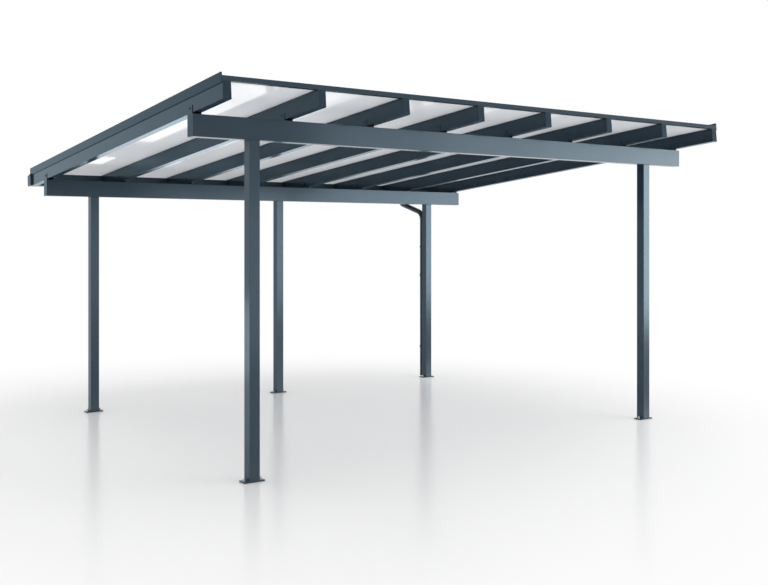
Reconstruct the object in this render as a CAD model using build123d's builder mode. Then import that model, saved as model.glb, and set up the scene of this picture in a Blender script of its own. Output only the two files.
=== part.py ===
"""Free-standing carport with a single-pitch roof, made of powder-coated aluminium profiles.

Two posts in front and three behind carry two level beams. Eight hollow rafters lie on the
beams in U-shaped saddles and fall to the back, where a gutter catches the rain. Opal sheets
lie between the rafters on rubber seals, held down by cover bars. A side trim closes the left
and the right edge, a channel closes the front ends of the sheets, and a downpipe runs from
the gutter down the back right post.

Frame: millimetres, +X along the beams, +Y from the high front to the low back, +Z up. The
origin is on the ground, in the middle of the four corner posts.
"""
import os
from math import cos, radians, sin, tan

from build123d import *

# Roof layout
BAY_COUNT = 7
BAY_WIDTH = 700
PITCH = 5.0
RAFTER_LENGTH = 4200

# Posts, foot plates and beams
POST_SPAN_X = 4060
POST_SPAN_Y = 3250
POST_SIDE = 80
POST_WALL = 3
PLATE_LENGTH = 160
PLATE_THICKNESS = 10
ANCHOR_SPACING = 120
ANCHOR_RADIUS = 7
FRONT_CLEARANCE = 2350
BEAM_LENGTH = 4980
BEAM_DEPTH = 90
BEAM_HEIGHT = 150
BEAM_WALL = 3
CAP_THICKNESS = 3

# Rafters: a two-cell box with an open screw channel on top
RAFTER_WIDTH = 60
RAFTER_HEIGHT = 117
RAFTER_WALL = 2
RAFTER_WEB_HEIGHT = 70
CHANNEL_WIDTH = 16
CHANNEL_SLOT = 5
CHANNEL_SLOT_DEPTH = 15
RAFTER_CAP_THICKNESS = 2
EDGE_CHAMFER = 1.5

# Saddles between the beams and the rafters
SADDLE_BASE = 5
SADDLE_CHEEK = 4
SADDLE_HEIGHT = 60
SADDLE_SET_BACK = 28

# Sheets, seals and cover bars
SEAL_HEIGHT = 3
SEAL_WIDTH = 8
SEAL_OFFSET = 20
SHEET_THICKNESS = 16
SHEET_EDGE_OFFSET = 12
SHEET_OVERHANG = 25
BAR_HEIGHT = 13
BAR_SHOULDER = 6
BAR_WALL = 2.5
BAR_LEG = 2

# Front closing channel
CHANNEL_FACE_HEIGHT = 33
CHANNEL_FACE_WALL = 2
CHANNEL_RETURN = 14
CHANNEL_REACH = 30
CUT_BACK = 2

# Side trims
TRIM_STAND_OFF = 9
TRIM_WALL = 2.5
TRIM_BOTTOM = 105
TRIM_TOP = 171
TRIM_LIP = 5
TRIM_FLANGE = 2
TRIM_SPACER_REACH = 18
TRIM_OVERHANG = 30

# Gutter
GUTTER_DEPTH = 95
GUTTER_OUTER_HEIGHT = 102
GUTTER_WALL = 2.5
GUTTER_RADIUS = 16
GUTTER_BEAD_RADIUS = 5
GUTTER_OVERHANG = 17

# Rainwater pipe
PIPE_RADIUS = 30
PIPE_WALL = 2
PIPE_GAP = 12
PIPE_BOTTOM = 12
SOCKET_GAP = 0.3
SOCKET_WALL = 3
SOCKET_LENGTH = 40
OUTLET_FLANGE_RADIUS = 42
OUTLET_FLANGE_THICKNESS = 6
OUTLET_LENGTH = 48
NECK_INSERTION = 36
NECK_HIGH = 2090
NECK_LOW = 1962
NECK_UPPER_BEND = 60
NECK_LOWER_BEND = 110
NECK_TAIL = 650
CLIP_HEIGHTS = (350, 1550)
CLIP_WIDTH = 25
CLIP_WALL = 3
CLIP_STEM = 20

# Worked out from the driving dimensions
pitch = radians(PITCH)
rafter_count = BAY_COUNT + 1
roof_half_width = (BAY_COUNT * BAY_WIDTH + RAFTER_WIDTH) / 2
front_y = -POST_SPAN_Y / 2
back_y = POST_SPAN_Y / 2
post_x = POST_SPAN_X / 2
back_clearance = FRONT_CLEARANCE - POST_SPAN_Y * tan(pitch)
front_beam_top = FRONT_CLEARANCE + BEAM_HEIGHT
sheet_bottom = RAFTER_HEIGHT + SEAL_HEIGHT
sheet_top = sheet_bottom + SHEET_THICKNESS
bar_start = CHANNEL_REACH + CUT_BACK

# Each rafter rests on the rear edge of its saddle's base
rest_y = front_y + BEAM_DEPTH / 2
rest_z = front_beam_top + SADDLE_BASE
rafter_front_y = -RAFTER_LENGTH * cos(pitch) / 2
rafter_front_z = rest_z + (rest_y - rafter_front_y) * tan(pitch)

# The roof plane is the plane of the rafters' undersides: its x runs along the beams, its y
# down the slope from the rafters' front ends, and its z square to the roof
roof_plane = Plane(
    origin=(0, rafter_front_y, rafter_front_z),
    x_dir=(1, 0, 0),
    z_dir=(0, sin(pitch), cos(pitch)),
)

post_places = {
    "front_left": (-post_x, front_y, FRONT_CLEARANCE),
    "front_right": (post_x, front_y, FRONT_CLEARANCE),
    "back_left": (-post_x, back_y, back_clearance),
    "back_middle": (0, back_y, back_clearance),
    "back_right": (post_x, back_y, back_clearance),
}
pipe_y = back_y + POST_SIDE / 2 + PIPE_GAP + PIPE_RADIUS
gutter_middle = RAFTER_LENGTH + GUTTER_DEPTH / 2
_, outlet_y, outlet_z = roof_plane.from_local_coords((0, gutter_middle, 0))


def rafter_x(number):
    """Middle of a rafter, counted from 1 at the left."""
    return (number - 1 - BAY_COUNT / 2) * BAY_WIDTH


def across_rafters(distance):
    """Plane square to the rafters, facing the front, some way down the slope."""
    origin = roof_plane.from_local_coords((0, distance, 0))
    return Plane(origin=origin, x_dir=(1, 0, 0), z_dir=-roof_plane.y_dir)


def along_rafters(x):
    """Upright plane beside a rafter: its x runs down the slope, its y square to the roof."""
    origin = roof_plane.from_local_coords((x, 0, 0))
    return Plane(origin=origin, x_dir=roof_plane.y_dir, z_dir=(1, 0, 0))


def soft_rectangle(width, height):
    """Outline of a profile or plate, with its sharp corners taken off."""
    with BuildSketch() as outline:
        Rectangle(width, height)
        chamfer(outline.vertices(), EDGE_CHAMFER)
    return outline.sketch


def save(builder, name):
    """Label a finished piece and write it to its own file."""
    builder.part.label = name
    export_step(builder.part, f"parts/{name}.step")


def build_foot_plate(name, x, y):
    """Plate as deep as the post, with one anchor hole on each side of it."""
    with BuildPart() as plate:
        with BuildSketch():
            with Locations((x, y)):
                add(soft_rectangle(PLATE_LENGTH, POST_SIDE))
                with GridLocations(ANCHOR_SPACING, 0, 2, 1):
                    Circle(ANCHOR_RADIUS, mode=Mode.SUBTRACT)
        extrude(amount=PLATE_THICKNESS)
    save(plate, f"foot_plate_{name}")


def build_post(name, x, y, top):
    """Square tube from its foot plate up to the beam."""
    inner = POST_SIDE - 2 * POST_WALL
    with BuildPart() as post:
        with BuildSketch(Plane.XY.offset(PLATE_THICKNESS)):
            with Locations((x, y)):
                add(soft_rectangle(POST_SIDE, POST_SIDE))
                Rectangle(inner, inner, mode=Mode.SUBTRACT)
        extrude(amount=top - PLATE_THICKNESS)
    save(post, f"post_{name}")


def build_beam(name, y, bottom):
    """Level hollow beam with a thin plate closing each end."""
    middle = (y, bottom + BEAM_HEIGHT / 2)
    half = BEAM_LENGTH / 2 - CAP_THICKNESS
    with BuildPart() as beam:
        with BuildSketch(Plane.YZ.offset(-half)):
            with Locations(middle):
                add(soft_rectangle(BEAM_DEPTH, BEAM_HEIGHT))
                Rectangle(
                    BEAM_DEPTH - 2 * BEAM_WALL,
                    BEAM_HEIGHT - 2 * BEAM_WALL,
                    mode=Mode.SUBTRACT,
                )
        extrude(amount=2 * half)
    save(beam, f"{name}_beam")

    with BuildPart() as caps:
        with BuildSketch(Plane.YZ.offset(-half - CAP_THICKNESS), Plane.YZ.offset(half)):
            with Locations(middle):
                add(soft_rectangle(BEAM_DEPTH, BEAM_HEIGHT))
        extrude(amount=CAP_THICKNESS)
    save(caps, f"{name}_beam_end_caps")


def build_saddles(name, y, beam_top):
    """One U-shaped saddle for each rafter: a base on the beam and a cheek up each side."""
    outer = RAFTER_WIDTH + 2 * SADDLE_CHEEK
    with BuildPart() as saddles:
        with BuildSketch(Plane.XZ.offset(-y - BEAM_DEPTH / 2)):
            for number in range(1, rafter_count + 1):
                with Locations((rafter_x(number), beam_top)):
                    Rectangle(outer, SADDLE_HEIGHT, align=(Align.CENTER, Align.MIN))
                with Locations((rafter_x(number), beam_top + SADDLE_BASE)):
                    Rectangle(
                        RAFTER_WIDTH,
                        SADDLE_HEIGHT,
                        align=(Align.CENTER, Align.MIN),
                        mode=Mode.SUBTRACT,
                    )
        extrude(amount=BEAM_DEPTH - SADDLE_SET_BACK)
    save(saddles, f"{name}_rafter_saddles")


def build_rafter(number):
    """Two-cell hollow rafter, its screw channel cut back behind the front channel."""
    x = rafter_x(number)
    web_bottom = RAFTER_WEB_HEIGHT - RAFTER_WALL / 2
    web_top = RAFTER_WEB_HEIGHT + RAFTER_WALL / 2
    cell_width = RAFTER_WIDTH - 2 * RAFTER_WALL
    with BuildPart() as rafter:
        with BuildSketch(across_rafters(0)):
            with Locations((x, RAFTER_HEIGHT / 2)):
                add(soft_rectangle(RAFTER_WIDTH, RAFTER_HEIGHT))
            with Locations((x, RAFTER_WALL)):
                Rectangle(
                    cell_width,
                    web_bottom - RAFTER_WALL,
                    align=(Align.CENTER, Align.MIN),
                    mode=Mode.SUBTRACT,
                )
            with Locations((x, web_top)):
                Rectangle(
                    cell_width,
                    RAFTER_HEIGHT - RAFTER_WALL - web_top,
                    align=(Align.CENTER, Align.MIN),
                    mode=Mode.SUBTRACT,
                )
        extrude(amount=-RAFTER_LENGTH)
        with BuildSketch(across_rafters(bar_start)):
            with Locations((x, RAFTER_HEIGHT)):
                Rectangle(
                    CHANNEL_WIDTH,
                    sheet_top - RAFTER_HEIGHT,
                    align=(Align.CENTER, Align.MIN),
                )
            with Locations((x, sheet_top)):
                Rectangle(
                    CHANNEL_SLOT,
                    CHANNEL_SLOT_DEPTH,
                    align=(Align.CENTER, Align.MAX),
                    mode=Mode.SUBTRACT,
                )
        extrude(amount=bar_start - RAFTER_LENGTH)
    save(rafter, f"rafter_{number}")


def build_rafter_caps():
    """Thin plates on the front ends of the rafters."""
    with BuildPart() as caps:
        with BuildSketch(across_rafters(-RAFTER_CAP_THICKNESS)):
            for number in range(1, rafter_count + 1):
                with Locations((rafter_x(number), RAFTER_HEIGHT / 2)):
                    add(soft_rectangle(RAFTER_WIDTH, RAFTER_HEIGHT))
        extrude(amount=-RAFTER_CAP_THICKNESS)
    save(caps, "rafter_end_caps")


def build_seals():
    """Rubber strips on the rafters' ledges, under both long edges of every sheet."""
    with BuildPart() as seals:
        with BuildSketch(across_rafters(bar_start)):
            for bay in range(1, BAY_COUNT + 1):
                left_seal = rafter_x(bay) + SEAL_OFFSET
                right_seal = rafter_x(bay + 1) - SEAL_OFFSET
                with Locations((left_seal, RAFTER_HEIGHT), (right_seal, RAFTER_HEIGHT)):
                    Rectangle(SEAL_WIDTH, SEAL_HEIGHT, align=(Align.CENTER, Align.MIN))
        extrude(amount=bar_start - RAFTER_LENGTH)
    save(seals, "sheet_seals")


def build_sheet(bay):
    """One opal sheet, from inside the front channel to just over the gutter."""
    middle = (rafter_x(bay) + rafter_x(bay + 1)) / 2
    width = BAY_WIDTH - 2 * SHEET_EDGE_OFFSET
    with BuildPart() as sheet:
        with BuildSketch(across_rafters(CUT_BACK)):
            with Locations((middle, sheet_bottom)):
                Rectangle(width, SHEET_THICKNESS, align=(Align.CENTER, Align.MIN))
        extrude(amount=CUT_BACK - RAFTER_LENGTH - SHEET_OVERHANG)
    save(sheet, f"roof_sheet_{bay}")


def cover_bar_profile():
    """Arched cover bar on two feet, with two legs down to the rafter's screw channel."""
    half = RAFTER_WIDTH / 2
    shoulder = BAR_HEIGHT - BAR_SHOULDER
    leg_middle = CHANNEL_WIDTH / 2 - BAR_LEG / 2
    with BuildSketch() as profile:
        with BuildLine():
            Polyline(
                (-half, 0),
                (-half, shoulder),
                (-half + BAR_SHOULDER, BAR_HEIGHT),
                (half - BAR_SHOULDER, BAR_HEIGHT),
                (half, shoulder),
                (half, 0),
                close=True,
            )
        make_face()
        with BuildLine():
            Polyline(
                (-half + BAR_WALL, 0),
                (-half + BAR_WALL, shoulder - 1),
                (-half + BAR_SHOULDER + 1, BAR_HEIGHT - BAR_WALL),
                (half - BAR_SHOULDER - 1, BAR_HEIGHT - BAR_WALL),
                (half - BAR_WALL, shoulder - 1),
                (half - BAR_WALL, 0),
                close=True,
            )
        make_face(mode=Mode.SUBTRACT)
        with Locations((-leg_middle, 0), (leg_middle, 0)):
            Rectangle(BAR_LEG, BAR_HEIGHT - 1, align=(Align.CENTER, Align.MIN))
    return profile.sketch


def build_cover_bars():
    """Cover bars that clamp the sheets' edges, one over each rafter."""
    profile = cover_bar_profile()
    with BuildPart() as bars:
        with BuildSketch(across_rafters(bar_start)):
            for number in range(1, rafter_count + 1):
                with Locations((rafter_x(number), sheet_top)):
                    add(profile)
        extrude(amount=bar_start - RAFTER_LENGTH - SHEET_OVERHANG)
    save(bars, "cover_bars")


def build_front_channel():
    """Closing channel over the front ends of the sheets: a face, two flanges and a return."""
    half = roof_half_width + TRIM_STAND_OFF - TRIM_WALL
    face_left = -CHANNEL_FACE_WALL
    face_top = RAFTER_HEIGHT + CHANNEL_FACE_HEIGHT
    lower = (Align.MIN, Align.MIN)
    upper = (Align.MIN, Align.MAX)
    with BuildPart() as channel:
        with BuildSketch(along_rafters(-half)):
            with Locations((face_left, RAFTER_HEIGHT)):
                Rectangle(CHANNEL_FACE_WALL, CHANNEL_FACE_HEIGHT, align=lower)
                Rectangle(CHANNEL_REACH + CHANNEL_FACE_WALL, SEAL_HEIGHT, align=lower)
            with Locations((face_left, sheet_top)):
                Rectangle(CHANNEL_REACH + CHANNEL_FACE_WALL, CHANNEL_FACE_WALL, align=lower)
            with Locations((face_left, face_top)):
                Rectangle(CHANNEL_RETURN, CHANNEL_FACE_WALL, align=upper)
        extrude(amount=2 * half)
    save(channel, "front_channel")


def build_side_trim(name, side):
    """Upright trim beside an outer rafter; side is -1 on the left and 1 on the right.

    Its foot meets the rafter's side, and its spacer lies on the rafter's outer ledge, as
    thick as seal and sheet, so that the outer cover bar clamps it too.
    """
    outer = side * (roof_half_width + TRIM_STAND_OFF)
    inward = Align.MIN if side < 0 else Align.MAX
    spacer_width = TRIM_STAND_OFF + TRIM_SPACER_REACH
    with BuildPart() as trim:
        with BuildSketch(across_rafters(-CHANNEL_FACE_WALL)):
            with Locations((outer, TRIM_BOTTOM)):
                Rectangle(TRIM_WALL, TRIM_TOP - TRIM_BOTTOM, align=(inward, Align.MIN))
                Rectangle(TRIM_STAND_OFF, TRIM_FLANGE, align=(inward, Align.MIN))
            with Locations((outer, TRIM_TOP)):
                Rectangle(TRIM_LIP, TRIM_FLANGE, align=(inward, Align.MAX))
        extrude(amount=-CHANNEL_FACE_WALL - RAFTER_LENGTH - TRIM_OVERHANG)
        with BuildSketch(across_rafters(bar_start)):
            with Locations((outer, RAFTER_HEIGHT)):
                Rectangle(
                    spacer_width,
                    sheet_top - RAFTER_HEIGHT,
                    align=(inward, Align.MIN),
                )
            with Locations((outer - side * TRIM_WALL, RAFTER_HEIGHT + TRIM_FLANGE)):
                Rectangle(
                    spacer_width - TRIM_WALL - TRIM_FLANGE,
                    sheet_top - RAFTER_HEIGHT - 2 * TRIM_FLANGE,
                    align=(inward, Align.MIN),
                    mode=Mode.SUBTRACT,
                )
        extrude(amount=bar_start - RAFTER_LENGTH - TRIM_OVERHANG)
        # Notch that lets the trim's end pass over the gutter
        with BuildSketch(across_rafters(RAFTER_LENGTH)):
            with Locations((outer, 0)):
                Rectangle(TRIM_STAND_OFF, RAFTER_HEIGHT, align=(inward, Align.MIN))
        extrude(amount=-TRIM_OVERHANG, mode=Mode.SUBTRACT)
    save(trim, f"side_trim_{name}")


def gutter_outline(inset, top_rise):
    """Gutter outline, inset by a wall; its rim falls outwards, and its foot is rounded."""
    near = RAFTER_LENGTH + inset
    far = RAFTER_LENGTH + GUTTER_DEPTH - inset
    radius = GUTTER_RADIUS - inset
    with BuildSketch() as outline:
        with BuildLine():
            Polyline(
                (far, inset + radius),
                (far, GUTTER_OUTER_HEIGHT + top_rise),
                (near, RAFTER_HEIGHT + top_rise),
                (near, inset),
                (far - radius, inset),
            )
            RadiusArc((far - radius, inset), (far, inset + radius), -radius)
        make_face()
    return outline.sketch


def gutter_profile():
    """Open trough section behind the rafters' back ends, with a rolled rim in front."""
    rim_place = (
        RAFTER_LENGTH + GUTTER_DEPTH - GUTTER_BEAD_RADIUS,
        GUTTER_OUTER_HEIGHT - GUTTER_BEAD_RADIUS,
    )
    with BuildSketch() as profile:
        add(gutter_outline(0, 0))
        add(gutter_outline(GUTTER_WALL, GUTTER_DEPTH), mode=Mode.SUBTRACT)
        with Locations(rim_place):
            Circle(GUTTER_BEAD_RADIUS)
    return profile.sketch


def gutter_strip(*regions):
    """The parts of the gutter's section that lie in these rectangles."""
    with BuildSketch() as strip:
        for near, bottom, width, height in regions:
            with Locations((near, bottom)):
                Rectangle(width, height, align=(Align.MIN, Align.MIN))
        add(gutter_profile(), mode=Mode.INTERSECT)
    return strip.sketch


def build_gutter():
    """Gutter in strips: two walls, the floor with the outlet hole, and the rounded foot."""
    half = roof_half_width + GUTTER_OVERHANG - GUTTER_WALL
    inner = RAFTER_LENGTH + GUTTER_WALL
    foot = RAFTER_LENGTH + GUTTER_DEPTH - GUTTER_RADIUS
    back_region = (RAFTER_LENGTH, 0, GUTTER_WALL, RAFTER_HEIGHT)
    front_region = (foot, GUTTER_RADIUS, GUTTER_RADIUS, RAFTER_HEIGHT)
    strips = {
        "walls": gutter_strip(back_region, front_region),
        "floor": gutter_strip((inner, 0, foot - inner, GUTTER_RADIUS)),
        "foot": gutter_strip((foot, 0, GUTTER_RADIUS, GUTTER_RADIUS)),
    }
    for name, section in strips.items():
        with BuildPart() as strip:
            with BuildSketch(along_rafters(-half)):
                add(section)
            extrude(amount=2 * half)
            if name == "floor":
                with Locations((post_x, outlet_y, outlet_z)):
                    Cylinder(PIPE_RADIUS - PIPE_WALL, 2 * GUTTER_RADIUS, mode=Mode.SUBTRACT)
        save(strip, f"gutter_{name}")

    with BuildPart() as caps:
        with BuildSketch(along_rafters(-half - GUTTER_WALL), along_rafters(half)):
            add(gutter_outline(0, 0))
        extrude(amount=GUTTER_WALL)
    save(caps, "gutter_end_caps")


def build_outlet():
    """Outlet under the gutter: a flange on the trough's floor and a socket for the pipe."""
    socket_bore = PIPE_RADIUS + SOCKET_GAP
    socket_bottom = outlet_z - OUTLET_LENGTH
    with BuildPart() as outlet:
        with BuildSketch(Plane.XY.offset(socket_bottom)):
            with Locations((post_x, outlet_y)):
                Circle(socket_bore + SOCKET_WALL)
        extrude(amount=2 * OUTLET_LENGTH)
        with BuildSketch(Plane.XY.offset(outlet_z - OUTLET_FLANGE_THICKNESS)):
            with Locations((post_x, outlet_y)):
                Circle(OUTLET_FLANGE_RADIUS)
        extrude(amount=OUTLET_LENGTH)
        with BuildSketch(Plane.XY.offset(socket_bottom)):
            with Locations((post_x, outlet_y)):
                Circle(socket_bore)
        extrude(amount=3 * OUTLET_LENGTH, mode=Mode.SUBTRACT)
        split(bisect_by=roof_plane, keep=Keep.BOTTOM)
    save(outlet, "gutter_outlet")


def build_pipe():
    """Swan neck from the outlet to the post, and the straight downpipe below it."""
    bore = PIPE_RADIUS - PIPE_WALL
    socket_bore = PIPE_RADIUS + SOCKET_GAP
    neck_top = outlet_z - OUTLET_LENGTH + NECK_INSERTION
    neck_bottom = NECK_LOW - NECK_LOWER_BEND - NECK_TAIL
    with BuildPart() as neck:
        with BuildLine(Plane.YZ.offset(post_x)) as route:
            FilletPolyline(
                (outlet_y, neck_top),
                (outlet_y, NECK_HIGH),
                (pipe_y, NECK_LOW),
                (pipe_y, neck_bottom),
                radius=(NECK_UPPER_BEND, NECK_LOWER_BEND),
            )
        with BuildSketch(Plane(origin=(post_x, outlet_y, neck_top), z_dir=(0, 0, -1))):
            Circle(PIPE_RADIUS)
            Circle(bore, mode=Mode.SUBTRACT)
        sweep(path=route.line)
    save(neck, "downpipe_neck")

    with BuildPart() as pipe:
        with BuildSketch(Plane.XY.offset(PIPE_BOTTOM)):
            with Locations((post_x, pipe_y)):
                Circle(PIPE_RADIUS)
        extrude(amount=neck_bottom - PIPE_BOTTOM)
        with BuildSketch(Plane.XY.offset(neck_bottom - SOCKET_WALL)):
            with Locations((post_x, pipe_y)):
                Circle(socket_bore + SOCKET_WALL)
        extrude(amount=SOCKET_LENGTH + SOCKET_WALL)
        with BuildSketch(Plane.XY.offset(PIPE_BOTTOM)):
            with Locations((post_x, pipe_y)):
                Circle(bore)
        extrude(amount=NECK_HIGH, mode=Mode.SUBTRACT)
        with BuildSketch(Plane.XY.offset(neck_bottom)):
            with Locations((post_x, pipe_y)):
                Circle(socket_bore)
        extrude(amount=NECK_HIGH, mode=Mode.SUBTRACT)
    save(pipe, "downpipe")


def build_clips():
    """Ring clips that hold the downpipe off the back face of the post."""
    ring_bore = PIPE_RADIUS + SOCKET_GAP
    stem_length = pipe_y - back_y - POST_SIDE / 2
    with BuildPart() as clips:
        for height in CLIP_HEIGHTS:
            with BuildSketch(Plane.XY.offset(height)):
                with Locations((post_x, pipe_y)):
                    Circle(ring_bore + CLIP_WALL)
                    Rectangle(CLIP_STEM, stem_length, align=(Align.CENTER, Align.MAX))
                    Circle(ring_bore, mode=Mode.SUBTRACT)
            extrude(amount=CLIP_WIDTH)
    save(clips, "downpipe_clips")


os.makedirs("parts", exist_ok=True)

for place, (x, y, top) in post_places.items():
    build_foot_plate(place, x, y)
    build_post(place, x, y, top)

for place, y, bottom in (
    ("front", front_y, FRONT_CLEARANCE),
    ("back", back_y, back_clearance),
):
    build_beam(place, y, bottom)
    build_saddles(place, y, bottom + BEAM_HEIGHT)

for rafter_number in range(1, rafter_count + 1):
    build_rafter(rafter_number)
build_rafter_caps()
build_seals()

for bay_number in range(1, BAY_COUNT + 1):
    build_sheet(bay_number)
build_cover_bars()
build_front_channel()
build_side_trim("left", -1)
build_side_trim("right", 1)

build_gutter()
build_outlet()
build_pipe()
build_clips()
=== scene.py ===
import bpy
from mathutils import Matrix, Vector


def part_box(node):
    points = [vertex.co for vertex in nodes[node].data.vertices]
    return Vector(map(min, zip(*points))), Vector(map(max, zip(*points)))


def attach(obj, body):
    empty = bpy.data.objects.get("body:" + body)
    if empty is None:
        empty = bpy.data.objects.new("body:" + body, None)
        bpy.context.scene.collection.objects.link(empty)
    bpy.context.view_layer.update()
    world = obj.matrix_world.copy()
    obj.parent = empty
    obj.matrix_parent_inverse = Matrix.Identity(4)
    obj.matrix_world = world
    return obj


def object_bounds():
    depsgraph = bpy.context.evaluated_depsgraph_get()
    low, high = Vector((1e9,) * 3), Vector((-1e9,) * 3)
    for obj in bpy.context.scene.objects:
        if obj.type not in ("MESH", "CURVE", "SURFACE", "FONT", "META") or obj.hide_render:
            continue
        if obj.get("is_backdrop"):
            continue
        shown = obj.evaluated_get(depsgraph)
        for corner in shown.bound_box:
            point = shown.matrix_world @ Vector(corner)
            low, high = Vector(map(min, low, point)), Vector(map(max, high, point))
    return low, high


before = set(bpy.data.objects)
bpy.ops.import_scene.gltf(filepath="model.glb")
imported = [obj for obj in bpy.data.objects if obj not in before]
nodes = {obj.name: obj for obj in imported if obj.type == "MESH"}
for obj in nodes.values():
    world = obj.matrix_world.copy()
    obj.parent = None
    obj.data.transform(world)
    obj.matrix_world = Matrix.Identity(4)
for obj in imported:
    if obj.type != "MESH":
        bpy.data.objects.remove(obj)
cad_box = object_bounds()
print("nodes", len(nodes), "box", [[round(v, 3) for v in corner] for corner in cad_box])

# %% [markdown]
# ## The roof's own directions
# The roof slopes, so screws and gaskets on it are easier to place along the rafters than along
# the world's axes. One corner and the slope are enough, and both can be read from the first
# rafter: its lowest front edge starts at its smallest Y, and it falls five degrees.
# %% Roof directions
import math

import bpy
import bmesh
from mathutils import Vector

slope = math.radians(5)
rafter_length, rafter_count, bay = 4.2, 8, 0.7
rafter_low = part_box("rafter_1")[0]
roof_start = Vector((0, rafter_low.y, rafter_low.z + rafter_length * math.sin(slope)))
down_roof = Vector((0, math.cos(slope), -math.sin(slope)))
off_roof = Vector((0, math.sin(slope), math.cos(slope)))
rafter_places = [(number - (rafter_count - 1) / 2) * bay for number in range(rafter_count)]


def on_roof(x, along, height):
    """A point that far along the rafters and that far above their undersides."""
    return roof_start + Vector((x, 0, 0)) + down_roof * along + off_roof * height


print("roof starts at", [round(v, 4) for v in roof_start])

# %% [markdown]
# ## The camera
# The picture was taken from a person's eye height, left of the carport's front, with the
# camera held level. A level camera keeps upright posts upright. The horizon lies above the
# picture's middle, so the lens is shifted down instead of tilted, as on an architect's camera.
# %% Camera
def new_object(name, data):
    """An object in the scene that shows a mesh, a lamp or a camera."""
    made = bpy.data.objects.new(name, data)
    bpy.context.scene.collection.objects.link(made)
    return made


picture_width, picture_height = 768, 585
sensor_width, focal_pixels = 36, 978.2
eye = Vector((-5.195, -7.635, 1.696))
horizon_x, horizon_y = 369.3, 235.4
turn = math.radians(34.607)

camera_data = bpy.data.cameras.new("camera")
camera_data.sensor_fit = "HORIZONTAL"
camera_data.sensor_width = sensor_width
camera_data.lens = sensor_width * focal_pixels / picture_width
camera_data.shift_x = (picture_width / 2 - horizon_x) / picture_width
camera_data.shift_y = (horizon_y - picture_height / 2) / picture_width
camera = new_object("camera", camera_data)
camera.location = eye
camera.rotation_euler = (math.radians(90), 0, -turn)
bpy.context.scene.camera = camera
bpy.context.scene.view_settings.view_transform = "Standard"
print("lens", round(camera_data.lens, 2), "mm")

# %% [markdown]
# ## Building material trees
# Every finish is a small tree of shader nodes. One helper adds a node and sets its options and
# inputs, so that a whole finish can be read from top to bottom.
# %% Helpers: nodes, materials and groups
def set_inputs(tree, node, inputs):
    """Writes a value into each input, or links it to another node's output."""
    for socket, value in inputs.items():
        if isinstance(value, bpy.types.NodeSocket):
            tree.links.new(value, node.inputs[socket])
        else:
            node.inputs[socket].default_value = value


def add_node(tree, kind, inputs=None, **options):
    """Adds a node with its options and its inputs."""
    node = tree.nodes.new(kind)
    for option, value in options.items():
        setattr(node, option, value)
    set_inputs(tree, node, inputs or {})
    return node


def new_finish(name):
    """An empty material: its tree, its shader and the object coordinates of the surface."""
    material = bpy.data.materials.new(name)
    material.use_nodes = True
    tree = material.node_tree
    shader = tree.nodes["Principled BSDF"]
    place = add_node(tree, "ShaderNodeTexCoord").outputs["Object"]
    return material, tree, shader, place


def new_group(name, inputs, outputs):
    """A shader group with named inputs and outputs, each a vector, a colour or a number."""
    group = bpy.data.node_groups.new(name, "ShaderNodeTree")
    for label, kind, value in inputs:
        socket = group.interface.new_socket(label, in_out="INPUT",
                                            socket_type="NodeSocket" + kind)
        if value is not None:
            socket.default_value = value
    for label, kind in outputs:
        group.interface.new_socket(label, in_out="OUTPUT", socket_type="NodeSocket" + kind)
    entry = group.nodes.new("NodeGroupInput")
    leave = group.nodes.new("NodeGroupOutput")
    return group, entry.outputs, leave.inputs


# %% [markdown]
# ## What many finishes share
# Sums, noises, bumps and mixed colours come up again and again, so each gets a short helper
# that gives just the output that the next node needs.
# %% Helpers: sums, noises, bumps and mixes
def add_math(tree, operation, *values, **options):
    """The result of a math node, whose inputs are given in order."""
    node = add_node(tree, "ShaderNodeMath", dict(enumerate(values)), operation=operation,
                    **options)
    return node.outputs["Value"]


def mix_colours(tree, factor, first, second):
    """The colour between two colours, by a factor that may be linked."""
    # The sockets 0, 6 and 7 of a colour mix are its factor and its two colours
    mix = add_node(tree, "ShaderNodeMix", {0: factor, 6: first, 7: second}, data_type="RGBA")
    return mix.outputs[2]


def add_noise(tree, place, scale, detail=2.0, roughness=0.5):
    """A soft random pattern between zero and one."""
    noise = add_node(tree, "ShaderNodeTexNoise", {"Vector": place, "Scale": scale,
                                                  "Detail": detail, "Roughness": roughness})
    return noise.outputs["Fac"]


def add_range(tree, value, source=(0, 1), target=(0, 1), **options):
    """A value moved from a source range of numbers into a target range."""
    node = add_node(tree, "ShaderNodeMapRange",
                    {"Value": value, "From Min": source[0], "From Max": source[1],
                     "To Min": target[0], "To Max": target[1]}, **options)
    return node.outputs["Result"]


def add_bump(tree, height, strength, distance=0.001):
    """The direction of a surface that a height makes uneven."""
    bump = add_node(tree, "ShaderNodeBump",
                    {"Height": height, "Strength": strength, "Distance": distance})
    return bump.outputs["Normal"]


def blend_surface(tree, share, shader, other):
    """Shows another shader by a share, and the material's own by the rest."""
    blend = add_node(tree, "ShaderNodeMixShader",
                     {0: share, 1: shader.outputs["BSDF"], 2: other})
    set_inputs(tree, tree.nodes["Material Output"], {"Surface": blend.outputs["Shader"]})


# %% [markdown]
# ## Orange peel
# Powder coat is sprayed on dry and melts in an oven. It never flows out quite flat: seen close
# up, it has a fine swell like the peel of an orange. A noise some two millimetres across gives
# that height. It is a group, because every coated profile shows it.
# %% Group: orange peel
peel_group, entry, leave = new_group(
    "orange_peel",
    [("Place", "Vector", None), ("Size", "Float", 420.0)],
    [("Height", "Float")],
)
swell = add_noise(peel_group, entry["Place"], entry["Size"])
peel_group.links.new(swell, leave["Height"])
print("group:", peel_group.name)

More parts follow.
